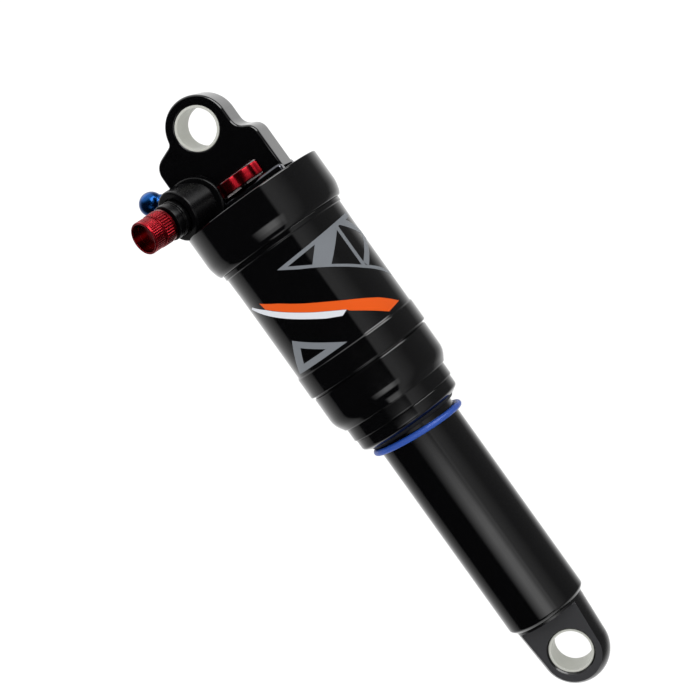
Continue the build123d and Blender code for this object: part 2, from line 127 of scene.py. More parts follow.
# Each light: its strength, and the angles off the camera's side and above the horizon at which
# it begins, is full, begins to fade, and has gone.
LIGHTS = {
    "low_strip": (2.2, (-36.0, -8.0, 4.0, 24.0), (-34.0, -26.0, -8.5, -4.5)),
    "soft_side": (0.36, (15.0, 19.0, 30.0, 60.0), ANYWHERE),
    "soft_far_side": (0.17, (15.0, 19.0, 199.0, 200.0), ANYWHERE),
    "key": (7.0, (18.0, 24.0, 72.0, 78.0), (7.0, 11.0, 42.0, 46.0)),
    "table_glow": (1.6, (-30.0, -20.0, 12.0, 22.0), (-84.0, -78.0, -66.0, -56.0)),
    "overhead": (1.5, ANYWHERE, (42.0, 60.0, 199.0, 200.0)),
    "left_wall": (0.3, (-200.0, -199.0, -105.0, -100.0), ANYWHERE),
    "far_left_wall": (0.82, (-200.0, -199.0, -150.0, -105.0), ANYWHERE),
    "right_wall": (0.88, (118.0, 150.0, 199.0, 200.0), ANYWHERE),
}

world = bpy.data.worlds.new("studio")
bpy.context.scene.world = world
world.use_nodes = True
tree = world.node_tree
tree.nodes.clear()
ray = add(tree, "SeparateXYZ", [(0, add(tree, "TexCoord").outputs["Generated"])])
behind = add(tree, "Math", [(0, ray.outputs["Y"]), (1, -1.0)], operation="MULTIPLY")
turn = add(tree, "Math", [(0, ray.outputs["X"]), (1, behind)], operation="ARCTAN2")
turn = add(tree, "Math", [(0, turn)], operation="DEGREES")
turn = add(tree, "Math", [(0, turn), (1, CAMERA_AZIMUTH)], operation="SUBTRACT")
side = add(tree, "Math", [(0, turn), (1, 180.0), (2, -180.0)], operation="WRAP")
rise = add(tree, "Math", [(0, ray.outputs["Z"])], operation="ARCSINE")
rise = add(tree, "Math", [(0, rise)], operation="DEGREES")
light = add(tree, "Value")
light.outputs[0].default_value = DARK_ZONE
for power, *windows in LIGHTS.values():
    glow = power
    for angle, (begins, full, fades, gone) in zip((side, rise), windows):
        grown = add(tree, "MapRange", [(0, angle), (1, begins), (2, full)])
        kept = add(tree, "MapRange", [(0, angle), (1, fades), (2, gone), (3, 1.0), (4, 0.0)])
        glow = add(tree, "Math", [(0, glow), (1, grown)], operation="MULTIPLY")
        glow = add(tree, "Math", [(0, glow), (1, kept)], operation="MULTIPLY")
    light = add(tree, "Math", [(0, light), (1, glow)], operation="ADD")
shiny = add(tree, "LightPath").outputs["Is Glossy Ray"]
strength = add(tree, "Mix", [(0, shiny), (2, ROOM_WHITE), (3, light)])
background = add(tree, "Background", [("Color", (1, 1, 1, 1)), ("Strength", strength.outputs[0])])
add(tree, "OutputWorld", [(0, background.outputs[0])])

FLOOR_DROP = 0.08
FLOOR_HALF = 6.0
floor_z = cad_low.z - FLOOR_DROP
floor_mesh = bpy.data.meshes.new("floor")
floor_mesh.from_pydata([(x * FLOOR_HALF, y * FLOOR_HALF, floor_z)
                        for x, y in ((-1, -1), (1, -1), (1, 1), (-1, 1))],
                       [], [(0, 1, 2, 3)])
floor = bpy.data.objects.new("floor", floor_mesh)
bpy.context.collection.objects.link(floor)
floor_paint = bpy.data.materials.new("studio_floor")
floor_paint.use_nodes = True
floor_shader = floor_paint.node_tree.nodes["Principled BSDF"]
floor_shader.inputs["Base Color"].default_value = linear("#FBFBFB")
floor_shader.inputs["Roughness"].default_value = 1.0
floor_shader.inputs["Specular IOR Level"].default_value = 0.0
floor_mesh.materials.append(floor_paint)
floor.visible_glossy = False


# ---------------------------------------------------------------- upper head
# The head is forged and machined from one piece of aluminium, then black anodised to a gloss: an
# eyelet on a thick plate, a ledge along the plate's foot, and the cap that the air sleeve
# screws into. A round boss for the air valve stands on a pad on the plate's front.
def span(node):
    """The lowest and highest corner of a CAD node, in millimetres."""
    low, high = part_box(node)
    return np.array(low) / MM, np.array(high) / MM


def rounded(corners, steps=7):
    """A closed path through (x, y, cut) corners: each corner is cut back by its cut, at most
    half of its shorter side, and bridged by a quadratic curve with the corner as its handle."""
    corners = np.array(corners, float)
    spots, cut = corners[:, :2], corners[:, 2]
    before = np.roll(spots, 1, 0) - spots
    after = np.roll(spots, -1, 0) - spots
    reach_back = np.linalg.norm(before, axis=1)
    reach_on = np.linalg.norm(after, axis=1)
    cut = np.minimum(cut, 0.49 * np.minimum(reach_back, reach_on))
    start = spots + before * (cut / reach_back)[:, None]
    end = spots + after * (cut / reach_on)[:, None]
    t = np.linspace(0, 1, steps)[None, :, None]
    path = (1 - t) ** 2 * start[:, None] + 2 * t * (1 - t) * spots[:, None] + t ** 2 * end[:, None]
    path = path.reshape(-1, 2)
    fresh = np.linalg.norm(path - np.roll(path, 1, 0), axis=1) > 1e-6
    return path[fresh]


def lathe(outline, foot=(0, 0, 0), axis=(0, 0, 1), steps=192, swell=0.0):
    """A grid turned about an axis: foot + height * axis + radius * (cos(turn) * side
    + sin(turn) * over), for each turn and each (radius, height) of the outline. Swell is
    added to the radius."""
    axis = np.array(axis, float) / np.linalg.norm(axis)
    side = np.cross((0, 0, 1), axis) if abs(axis[2]) < 0.9 else np.array((1.0, 0, 0))
    side = side - side.dot(axis) * axis
    side = side / np.linalg.norm(side)
    over = np.cross(axis, side)
    turn = (np.arange(steps) * 2 * np.pi / steps)[:, None, None]
    radius = (outline[None, :, 0] + swell)[:, :, None]
    return (np.array(foot, float) + outline[None, :, 1, None] * axis
            + radius * (np.cos(turn) * side + np.sin(turn) * over))


def skin(grid, closed_on=True):
    """The points and four-sided faces of a grid whose first direction closes on itself. Its
    second direction closes too if closed_on is set."""
    rows, columns = grid.shape[:2]
    index = np.arange(rows * columns).reshape(rows, columns)
    on = np.roll(index, -1, 0)
    if closed_on:
        faces = np.stack([index, on, np.roll(on, -1, 1), np.roll(index, -1, 1)], -1)
    else:
        faces = np.stack([index[:, :-1], on[:, :-1], on[:, 1:], index[:, 1:]], -1)
    return grid.reshape(-1, 3), faces.reshape(-1, 4)


MERGE_WITHIN = 1e-7


def mesh_of(name, skins, flat_sides=False, crease=40):
    """One mesh in metres from skins in millimetres, with equal points merged. With flat_sides,
    its two open ends across Y are filled. Edges sharper than the crease angle stay sharp."""
    points = np.concatenate([points for points, faces in skins]) * MM
    starts = np.cumsum([0] + [len(points) for points, faces in skins[:-1]])
    faces = np.concatenate([faces + start for (_, faces), start in zip(skins, starts)])
    mesh = bpy.data.meshes.new(name)
    mesh.from_pydata(points.tolist(), [], faces.tolist())
    work = bmesh.new()
    work.from_mesh(mesh)
    bmesh.ops.remove_doubles(work, verts=work.verts, dist=MERGE_WITHIN)
    if flat_sides:
        for side in (-1, 1):
            rim = [edge for edge in work.edges
                   if edge.is_boundary and edge.verts[0].co.y * side > 0]
            bmesh.ops.triangle_fill(work, edges=rim, use_beauty=True)
    bmesh.ops.recalc_face_normals(work, faces=work.faces)
    work.to_mesh(mesh)
    work.free()
    mesh.shade_smooth()
    mesh.set_sharp_from_angle(angle=math.radians(crease))
    return mesh


def piece(name, mesh, body, made, stands_for=()):
    """A finished piece: an object with one material, evened normals, and a CAD body to ride."""
    made_piece = bpy.data.objects.new(name, mesh)
    bpy.context.collection.objects.link(made_piece)
    mesh.materials.append(made)
    made_piece.modifiers.new("even_normals", "WEIGHTED_NORMAL").keep_sharp = True
    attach(made_piece, body)
    if stands_for:
        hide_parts(*stands_for)
    return made_piece


def finish_of(name, colour, metallic, roughness, **sockets):
    """A new material with one principled shader; extra sockets are named with underscores."""
    made = bpy.data.materials.new(name)
    made.use_nodes = True
    shader = made.node_tree.nodes["Principled BSDF"]
    shader.inputs["Base Color"].default_value = linear(colour)
    shader.inputs["Metallic"].default_value = metallic
    shader.inputs["Roughness"].default_value = roughness
    for key, value in sockets.items():
        shader.inputs[key.replace("_", " ")].default_value = value
    return made, made.node_tree, shader


def worn(tree, shader, size, low, high, depth=0.0):
    """Lets the roughness drift between low and high in cloudy noise of a size in millimetres,
    and raises a bump of the same noise by depth, in millimetres. Real dye and machining marks
    are finer: the clouds are as coarse as they need to be to show."""
    place = add(tree, "TexCoord").outputs["Object"]
    cloud = add(tree, "TexNoise", [("Vector", place), ("Scale", 1 / (size * MM)), ("Detail", 3.0)])
    drift = add(tree, "MapRange", [(0, cloud.outputs[0]), (1, 0.3), (2, 0.7), (3, low), (4, high)])
    tree.links.new(drift.outputs[0], shader.inputs["Roughness"])
    if depth:
        bump = add(tree, "Bump", [("Height", cloud.outputs[0]), ("Distance", depth * MM)])
        tree.links.new(bump.outputs[0], shader.inputs["Normal"])


# Dyed and sealed oxide on polished aluminium: near black, its sharp reflections waver a little.
gloss_black, tree, shader = finish_of("gloss_black_anodised_aluminium", "#050506", 0.0, 0.07)
worn(tree, shader, 3.0, 0.05, 0.10, 0.002)

EYE_WALL = 3.2
BUSH_R, EYE_HALF_WIDTH = span("upper_bush")[1][:2]
EYE_R = BUSH_R + EYE_WALL
EYE_BLEND_ANGLE = math.radians(165)
PLATE_LEFT, PLATE_LEFT_TOP, PLATE_SLOPE = -18.7, -2.2, 0.36
PLATE_RIGHT, PLATE_RIGHT_TOP, PLATE_NECK = 15.5, -9.2, -6.6
PLATE_EDGE, BORE_EDGE, WINDOW_EDGE = 0.9, 0.5, 0.5
CAP_TOP = -26.2
POCKET_CLEAR, POCKET_GAP, WINDOW_CORNER = 0.3, 0.4, 1.6
DIAL_LOW, DIAL_HIGH = span("rebound_dial")
POCKET_R = DIAL_HIGH[1] + POCKET_CLEAR
EDGE_STEPS = 7

# The slope meets the eyelet's tangent line at the blend angle.
tangent = np.array([math.cos(EYE_BLEND_ANGLE), math.sin(EYE_BLEND_ANGLE)])
slope_start = PLATE_LEFT_TOP - PLATE_SLOPE * PLATE_LEFT
blend_x = (EYE_R - tangent[1] * slope_start) / (tangent[0] + PLATE_SLOPE * tangent[1])
blend = np.array([blend_x, slope_start + PLATE_SLOPE * blend_x])
blend_cut = np.linalg.norm(blend - EYE_R * tangent)
over_eye = np.linspace(EYE_BLEND_ANGLE, 0, 60)
outside = rounded([
    (PLATE_LEFT, CAP_TOP - 1, 0), (PLATE_LEFT, PLATE_LEFT_TOP, 4.0), (*blend, blend_cut),
    *[(EYE_R * math.cos(angle), EYE_R * math.sin(angle), 0) for angle in over_eye],
    (EYE_R, PLATE_NECK, 2.6), (PLATE_RIGHT, PLATE_RIGHT_TOP, 3.4),
    (PLATE_RIGHT, CAP_TOP - 1, 0)], steps=12)
round_bore = np.linspace(0, 2 * np.pi, 128, endpoint=False)
bore = BUSH_R * np.stack([np.cos(round_bore), np.sin(round_bore)], 1)
window_half = math.sqrt(POCKET_R ** 2 - EYE_HALF_WIDTH ** 2)
window_top, window_floor = DIAL_HIGH[2] + POCKET_GAP, DIAL_LOW[2] - POCKET_GAP
window = rounded([(-window_half, window_floor, WINDOW_CORNER),
                  (window_half, window_floor, WINDOW_CORNER),
                  (window_half, window_top, WINDOW_CORNER),
                  (-window_half, window_top, WINDOW_CORNER)], steps=12)


def plate_wall(outline, edge, into_plate, pocket=False):
    """The wall of a plate along an outline, from face to face: a straight run with a quarter
    round of radius edge at each face. In a pocket, x is stretched with depth, so that the wall
    follows a cylinder about the plate's middle."""
    along = np.roll(outline, -1, 0) - np.roll(outline, 1, 0)
    normal = np.stack([along[:, 1], -along[:, 0]], 1) / np.linalg.norm(along, axis=1)[:, None]
    turn = np.linspace(0, np.pi / 2, EDGE_STEPS)
    inset = edge * (1 - np.cos(turn))
    depth = EYE_HALF_WIDTH - edge + edge * np.sin(turn)
    run = np.linspace(-1, 1, 9)[1:-1] * (EYE_HALF_WIDTH - edge)
    y = np.concatenate([-depth[::-1], run, depth])
    inset = np.concatenate([inset[::-1], 0 * run, inset])
    flat = outline[:, None] + into_plate * normal[:, None] * inset[None, :, None]
    if pocket:
        stretch = np.sqrt(POCKET_R ** 2 - y ** 2) / window_half
        flat = flat * np.stack([stretch, 1 + 0 * stretch], -1)[None]
    return np.stack([flat[..., 0], np.broadcast_to(y, flat.shape[:2]), flat[..., 1]], -1)


plate_walls = [skin(plate_wall(outside, PLATE_EDGE, 1), closed_on=False),
               skin(plate_wall(bore, BORE_EDGE, 1), closed_on=False),
               skin(plate_wall(window, WINDOW_EDGE, 1, pocket=True), closed_on=False)]
piece("head_plate", mesh_of("head_plate", plate_walls, flat_sides=True), "air_can",
      gloss_black, ["upper_head"])

# The ledge is the plate's foot, a little thicker than the plate, with a rounded upper edge.
LEDGE_TOP, LEDGE_OUT, LEDGE_EDGE = -23.3, 2.2, 1.5
ledge_y = EYE_HALF_WIDTH + LEDGE_OUT
ledge_outline = rounded([(PLATE_LEFT, -ledge_y, 3.0), (PLATE_RIGHT, -ledge_y, 1.2),
                         (PLATE_RIGHT, ledge_y, 1.2), (PLATE_LEFT, ledge_y, 3.0)])
middle = ledge_outline.mean(0)
turn = np.linspace(0, np.pi / 2, EDGE_STEPS)
inset = np.concatenate([[0], LEDGE_EDGE * (1 - np.cos(turn))])
rise = np.concatenate([[CAP_TOP - 1], LEDGE_TOP - LEDGE_EDGE * (1 - np.sin(turn))])
rings = ledge_outline[:, None] + np.sign(middle - ledge_outline)[:, None] * inset[:, None]
hub = np.broadcast_to(middle, (len(ledge_outline), 1, 2))
rings = np.concatenate([hub, rings, hub], 1)
rise = np.concatenate([rise[:1], rise, rise[-1:]])
ledge = np.concatenate([rings, np.broadcast_to(rise[:, None], (*rings.shape[:2], 1))], -1)
# The ledge is drawn in a brighter, more reflective metallic copy of the head's black finish: a
# painted highlight, so that its rounded upper edge shows a bright line.
ledge_painted_highlight, tree, shader = finish_of("ledge_painted_highlight_finish", "#505156", 1.0, 0.12)
piece("head_ledge", mesh_of("head_ledge", [skin(ledge, closed_on=False)]), "air_can",
      ledge_painted_highlight)

COLLAR_STEP, CAP_OVERHANG, THREAD_STEP, SLEEVE_WALL = 0.55, 2.8, 0.75, 2.35
sleeve_low, sleeve_high = span("air_sleeve")
stanchion_low, stanchion_high = span("stanchion")
CAN_R = sleeve_high[0] - COLLAR_STEP
CAP_R = CAN_R + CAP_OVERHANG
CAP_BOTTOM = -41.9
THREAD_R = CAN_R - THREAD_STEP
BORE_R = CAN_R - SLEEVE_WALL
SHAFT_R = span("damper_shaft")[1][0]
cap_outline = rounded([
    (0, CAP_TOP, 0), (CAP_R, CAP_TOP, 0.5), (CAP_R, CAP_BOTTOM + 4.1, 1.5),
    (CAP_R - 0.8, CAP_BOTTOM + 1.2, 0.6), (CAP_R - 1.5, CAP_BOTTOM, 0.5),
    (THREAD_R, CAP_BOTTOM, 0.1), (THREAD_R, CAP_TOP - 5.2, 0), (BORE_R, CAP_TOP - 5.2, 0),
    (BORE_R, CAP_TOP - 2.8, 1.0), (8.0, CAP_TOP - 2.8, 0.4), (8.0, CAP_TOP - 5.8, 0.4),
    (SHAFT_R, CAP_TOP - 5.8, 0.2), (SHAFT_R, CAP_TOP - 1, 0), (0, CAP_TOP - 1, 0)])
piece("head_cap", mesh_of("head_cap", [skin(lathe(cap_outline))]), "air_can",
      gloss_black)

# The boss leans out of the plate's front, towards the left. Its pad is square to the plate.
valve_mount = frame["record"]["mounts"][2]
valve_out = np.array(valve_mount["axis"], float)
VALVE_START = np.array([-14.4, -EYE_HALF_WIDTH, -18.7])
BOSS_R, BOSS_END, BOSS_BORE_R = 8.5, 8.6, 4.2
PAD_R, PAD_HIGH = 9.3, 4.5
PAD_SHIFT = np.array([0.45, 0, -0.7])
boss_outline = rounded([
    (0, -4, 0), (BOSS_R, -4, 0), (BOSS_R, BOSS_END, 0.9), (BOSS_BORE_R + 2, BOSS_END, 0.3),
    (BOSS_BORE_R + 1.8, BOSS_END - 0.5, 0), (BOSS_BORE_R, BOSS_END - 0.5, 0.1),
    (BOSS_BORE_R, 1.3, 0), (0, 1.3, 0)])
pad_outline = rounded([(0, -2, 0), (PAD_R, -2, 0), (PAD_R, PAD_HIGH, 1.3),
                       (PAD_R - 2.2, PAD_HIGH - 0.5, 0.8), (0, PAD_HIGH - 0.5, 0)])
# Dyed oxide on a blasted surface: near black, and too rough to mirror anything sharply.
satin_black, tree, shader = finish_of("satin_black_anodised_aluminium", "#050506", 0.0, 0.24,
                                      Specular_IOR_Level=0.14)
worn(tree, shader, 1.5, 0.23, 0.29, 0.0005)
boss = [skin(lathe(boss_outline, VALVE_START, valve_out)),
        skin(lathe(pad_outline, VALVE_START + PAD_SHIFT, (0, -1, 0)))]
piece("valve_boss", mesh_of("valve_boss", boss), "air_can", satin_black)


# ---------------------------------------------------------------- upper bush
# A thin steel bush with a pale lining of moulded acetal is pressed into the eyelet and machined
# flush with it. All of it is drawn in the lining's finish.
LINER_FACE, LINER_EDGE, LINER_WALL = 0.02, 0.25, 0.85
liner, tree, shader = finish_of("moulded_acetal_bush", "#C2C3BB", 0.0, 0.45)
worn(tree, shader, 1.5, 0.38, 0.55, 0.004)


def bush(name, node, body):
    """A bush turned about its bore: a ring with small rounded edges, as long as its CAD node."""
    low, high = span(node)
    middle = (low + high) / 2
    outer = high[0]
    inner = outer - LINER_WALL
    half = (high - low)[1] / 2 + LINER_FACE
    ring = rounded([(inner, -half, LINER_EDGE), (outer, -half, LINER_EDGE),
                    (outer, half, LINER_EDGE), (inner, half, LINER_EDGE)])
    shell = skin(lathe(ring, middle, (0, 1, 0)))
    piece(name, mesh_of(name, [shell]), body, liner, [node])


bush("upper_eyelet_bush", "upper_bush", "air_can")


# ---------------------------------------------------------------- air valve
# A black anodised valve body is screwed into the boss, with the spring core and its pin inside.
# Over it goes a red anodised cap, turned and knurled, with an open front.
collar_outline = rounded([
    (2.1, 1.3, 0), (4.2, 1.3, 0.2), (4.2, BOSS_END, 0), (5.85, BOSS_END, 0.1),
    (5.85, BOSS_END + 1.5, 0.25), (5.45, BOSS_END + 1.7, 0.15), (5.45, BOSS_END + 2.2, 0.15),
    (5.85, BOSS_END + 2.4, 0.25), (5.85, BOSS_END + 4.8, 0.45), (3.85, BOSS_END + 4.8, 0.1),
    (3.85, BOSS_END + 11.1, 0.4), (2.1, BOSS_END + 11.1, 0.1)])
collar = skin(lathe(collar_outline, VALVE_START, valve_out))
piece("valve_collar", mesh_of("valve_collar", [collar]), "air_can", satin_black,
      ["valve_body"])

# Clear red dye over turned aluminium: saturated and metallic, with soft, uneven reflections.
red, tree, shader = finish_of("red_anodised_aluminium", "#7E0C17", 1.0, 0.28,
                              Coat_Weight=0.12, Coat_Roughness=0.15)
worn(tree, shader, 1.5, 0.24, 0.33, 0.001)

CAP_START, CAP_END, CAP_CLOSED = BOSS_END + 5.3, BOSS_END + 15.1, BOSS_END + 12.3
KNOB_R, KNOB_STEM_R, KNOB_WALL = 5.45, 3.9, 0.75
KNOB_STEPS = 396
RIDGES, RIDGE_DEPTH = 36, 0.28
TEETH, TEETH_DEPTH, TEETH_PITCH = 44, 0.2, 0.68
rear_band = (CAP_START + 1.3, CAP_START + 4.6)
front_band = (CAP_START + 5.3, CAP_END - 0.7)
knob_corners = [
    (KNOB_STEM_R, CAP_START, 0.1), (KNOB_R - 0.1, CAP_START, 0.9),
    (KNOB_R, rear_band[0], 0.1), (KNOB_R + 0.1, rear_band[0] + 0.2, 0.1),
    (KNOB_R + 0.1, rear_band[1] - 0.2, 0.1), (KNOB_R - 0.3, rear_band[1] + 0.1, 0.05),
    (KNOB_R + 0.05, rear_band[1] + 0.2, 0.2), (KNOB_R + 0.05, front_band[0] - 0.1, 0.2),
    (KNOB_R - 0.3, front_band[0], 0.05), (KNOB_R - 0.05, front_band[0] + 0.15, 0.1),
    (KNOB_R, front_band[1], 0.1), (KNOB_R - 0.1, CAP_END, 0.5),
    (KNOB_R - KNOB_WALL, CAP_END, 0.3), (KNOB_R - KNOB_WALL, CAP_CLOSED, 0.2),
    (0, CAP_CLOSED, 0), (0, CAP_CLOSED - 0.9, 0), (KNOB_STEM_R, CAP_CLOSED - 0.9, 0.1)]
knob_outline = rounded(knob_corners, steps=5)


def filled_in(outline, longest):
    """The same closed path with points added, so that no step is longer than a given length."""
    ahead = np.roll(outline, -1, 0) - outline
    counts = np.ceil(np.linalg.norm(ahead, axis=1) / longest).astype(int).clip(1)
    starts = np.repeat(outline, counts, 0)
    share = np.concatenate([np.arange(count) / count for count in counts])[:, None]
    return starts + share * np.repeat(ahead, counts, 0)


knob_outline = filled_in(knob_outline, 0.2)
turn = (np.arange(KNOB_STEPS) * 2 * np.pi / KNOB_STEPS)[:, None]
height = knob_outline[None, :, 1]
on_skin = knob_outline[None, :, 0] > KNOB_R - 0.12


def within(band):
    """1 on the knob's outer skin between a band's two heights, and 0 elsewhere."""
    return on_skin * (height > band[0]) * (height < band[1])


ridges = -RIDGE_DEPTH * (0.5 - 0.5 * np.cos(RIDGES * turn)) ** 2 * within(rear_band)
lean = 2 * np.pi * (height - front_band[0]) / TEETH_PITCH
facets = np.abs(np.cos(TEETH / 2 * turn) * np.cos(lean / 2))
teeth = -TEETH_DEPTH * (1 - facets) * within(front_band)
knob = lathe(knob_outline, VALVE_START, valve_out, KNOB_STEPS, ridges + teeth)
piece("valve_knob", mesh_of("valve_knob", [skin(knob)], crease=60), "valve_cap", red,
      ["valve_cap"])


# ---------------------------------------------------------------- rebound dial
# A red anodised disc in the plate's window, milled with ten scallops for the finger. It turns the
# metering rod.
DIAL_LOBES, DIAL_SCALLOP, DIAL_EDGE = 10, 0.9, 0.55
dial_r = DIAL_HIGH[1]
dial_outline = rounded([(1.3, DIAL_LOW[2], 0), (dial_r, DIAL_LOW[2], DIAL_EDGE),
                        (dial_r, DIAL_HIGH[2], DIAL_EDGE), (1.3, DIAL_HIGH[2], 0)])
dial_outline = filled_in(dial_outline, 1.2)
turn = (np.arange(KNOB_STEPS) * 2 * np.pi / KNOB_STEPS)[:, None]
waist = np.sin(DIAL_LOBES * turn / 2 + 0.6) ** 2
scallops = -DIAL_SCALLOP * (1 - waist) ** 2 * (dial_outline[None, :, 0] / dial_r) ** 6
piece("dial", mesh_of("dial", [skin(lathe(dial_outline, steps=KNOB_STEPS, swell=scallops))]),
      "dial", red, ["rebound_dial"])


# ---------------------------------------------------------------- lockout lever
# A blue anodised lever, turned and polished: a ball on a tapered arm, on a hub that a screw holds
# to its spindle behind the plate.
lockout = next(joint for joint in frame["record"]["behaviour"]["joints"]
               if joint["name"] == "lockout_turn")
hub_place = np.array(lockout["pos_m"]) / MM
lever_low, lever_high = span("lockout_lever")
BALL_R, ARM_ROOT_R, BALL_OPENS_AT = 4.1, 2.4, math.radians(133)
HUB_R, HUB_THICK = 5.0, 4.6
LEVER_ANGLE, LEVER_REACH = math.radians(30.3), 19.4
lever_out = np.array([-math.cos(LEVER_ANGLE), 0, math.sin(LEVER_ANGLE)])
ball_y = lever_high[1] - BALL_R
lever_foot = np.array([hub_place[0], ball_y, hub_place[2]])
ball_turn = np.linspace(BALL_OPENS_AT, 0, 40)
ball_line = np.stack([BALL_R * np.sin(ball_turn), LEVER_REACH + BALL_R * np.cos(ball_turn)], 1)
taper = np.linspace((ARM_ROOT_R, 0.5), ball_line[0], 12)
arm_outline = np.concatenate([[(0, 0), (ARM_ROOT_R, 0)], taper, ball_line])
hub_low, hub_high = lever_low[1], lever_low[1] + HUB_THICK
hub_outline = rounded([(1.9, hub_low, 0.1), (HUB_R, hub_low, 0.5), (HUB_R, hub_high, 0.7),
                       (2.8, hub_high, 0.2), (2.8, hub_high - 1.2, 0), (1.9, hub_high - 1.2, 0)])
lever_skins = [skin(lathe(arm_outline, lever_foot, lever_out)),
               skin(lathe(hub_outline, (hub_place[0], 0, hub_place[2]), (0, 1, 0)))]
# Clear blue dye over polished aluminium: deep blue and metallic, with a small highlight.
blue, tree, shader = finish_of("blue_anodised_aluminium", "#0C407A", 1.0, 0.26,
                               Coat_Weight=0.12, Coat_Roughness=0.12)
worn(tree, shader, 1.2, 0.22, 0.3, 0.0005)
piece("ball_lever", mesh_of("ball_lever", lever_skins), "lever", blue,
      ["lockout_lever"])


# ---------------------------------------------------------------- air sleeve
# The air sleeve is a turned aluminium tube, black anodised to a gloss. A raised band, a groove, a
# rounded shoulder and a neck are turned near its lower end.
COLLAR_HIGH = 1.5
BAND_TOP, BAND_BOTTOM, BAND_STEP = -81.1, -88.8, 0.4
LOWER_WALL, NECK_WALL, BARE_GAP = 2.05, 2.33, 0.3
LOWER_R = BORE_R + LOWER_WALL
SHOULDER_BOTTOM = -103.0
NECK_R = 18.45
neck_bottom = sleeve_low[2]
spigot_r = NECK_R - NECK_WALL
rod_r = stanchion_high[0]
sleeve_outline = rounded([
    (BORE_R, sleeve_high[2], 0.1), (THREAD_R, sleeve_high[2], 0.1), (THREAD_R, CAP_BOTTOM, 0),
    (CAN_R + COLLAR_STEP, CAP_BOTTOM, 0.2), (CAN_R + COLLAR_STEP, CAP_BOTTOM - COLLAR_HIGH, 0.45),
    (CAN_R + 0.15, CAP_BOTTOM - COLLAR_HIGH - 0.2, 0.2), (CAN_R + 0.12, CAP_BOTTOM - 4, 2),
    (CAN_R, CAP_BOTTOM - 9, 4), (CAN_R, BAND_TOP, 0.3),
    (CAN_R + BAND_STEP, BAND_TOP - 0.5, 0.3), (CAN_R + BAND_STEP, BAND_BOTTOM, 0.4),
    (LOWER_R - 0.5, BAND_BOTTOM - 0.1, 0.1), (LOWER_R - 0.5, BAND_BOTTOM - 0.5, 0.1),
    (LOWER_R, BAND_BOTTOM - 0.9, 0.4), (LOWER_R, SHOULDER_BOTTOM + 3.4, 3.4),
    (NECK_R + 0.6, SHOULDER_BOTTOM, 0.9), (NECK_R, SHOULDER_BOTTOM, 0.2),
    (NECK_R, neck_bottom, 0.5),
    (spigot_r, neck_bottom, 0), (spigot_r, neck_bottom + 4, 0),
    (rod_r + BARE_GAP, neck_bottom + 4, 0.1), (rod_r + BARE_GAP, neck_bottom + 9.2, 0.1),
    (BORE_R, neck_bottom + 9.2, 0.4)])
can_gloss, tree, shader = finish_of("gloss_black_anodised_sleeve", "#050506", 0.0, 0.07)
worn(tree, shader, 4.0, 0.05, 0.09, 0.001)
piece("sleeve", mesh_of("sleeve", [skin(lathe(sleeve_outline, steps=256))]), "air_can",
      can_gloss, ["air_sleeve"])


# ---------------------------------------------------------------- printed graphics
# Thin screen-printed ink on the sleeve: open grey triangles, an orange blade and a white blade
# under it. Plain shapes only. Angles are in degrees round the axis, from the front, heights in mm.
INK_THICKNESS = 0.04
INK_STEPS = 48


def along_line(corners, count):
    """Points spread evenly along the line through (angle, height) corners."""
    corners = np.array(corners, float)
    scale = np.array([math.radians(1) * CAN_R, 1.0])
    legs = np.linalg.norm(np.diff(corners, axis=0) * scale, axis=1)
    far = np.concatenate([[0], np.cumsum(legs)]) / legs.sum()
    share = np.linspace(0, 1, count)
    return np.stack([np.interp(share, far, corners[:, k]) for k in (0, 1)], 1)


def ink_between(first, second, across=6):
    """A sheet of ink between two lines: each point is the mix of the lines' points at the same
    share of their lengths. It is wrapped on the sleeve as (R sin(angle), -R cos(angle),
    height), outside for its face and just under the sleeve's skin for its back."""
    near, far = along_line(first, INK_STEPS), along_line(second, INK_STEPS)
    mix = np.linspace(0, 1, across)[None, :, None]
    flat = near[:, None] * (1 - mix) + far[:, None] * mix
    angle = np.radians(flat[..., 0])
    radius = CAN_R + np.interp(flat[..., 1], (CAP_BOTTOM - 9, CAP_BOTTOM - 4), (0, 0.12))

    def wrapped(lift):
        """The sheet's points at a height over the sleeve's skin."""
        return np.stack([(radius + lift) * np.sin(angle), -(radius + lift) * np.cos(angle),
                         flat[..., 1]], -1)
    face, back = wrapped(INK_THICKNESS), wrapped(-INK_THICKNESS)
    loop = np.stack([face, back], 0)
    rim = np.concatenate([loop[:, :, 0], loop[:, -1, 1:], loop[:, ::-1, -1][:, 1:],
                          loop[:, 0, ::-1][:, 1:-1]], 1)
    index = np.arange(flat.shape[0] * across).reshape(flat.shape[0], across)
    quads = np.stack([index[:-1, :-1], index[1:, :-1], index[1:, 1:], index[:-1, 1:]], -1)
    quads = quads.reshape(-1, 4)
    sides, side_faces = skin(rim.transpose(1, 0, 2), closed_on=False)
    return [(face.reshape(-1, 3), quads), (back.reshape(-1, 3), quads), (sides, side_faces)]


def print_on_sleeve(name, colour, roughness, sheets):
    """Prints sheets of ink, each given by its two edge lines, in one colour."""
    ink, tree, shader = finish_of(name, colour, 0.0, roughness, Specular_IOR_Level=0.2)
    skins = [shell for first, second in sheets for shell in ink_between(first, second)]
    piece(name, mesh_of(name, skins), "air_can", ink)


PRINT_MIDDLE = CAMERA_AZIMUTH


def seen(*corners):
    """Corners whose angles are given off the printed side's middle."""
    return [(angle + PRINT_MIDDLE, height) for angle, height in corners]


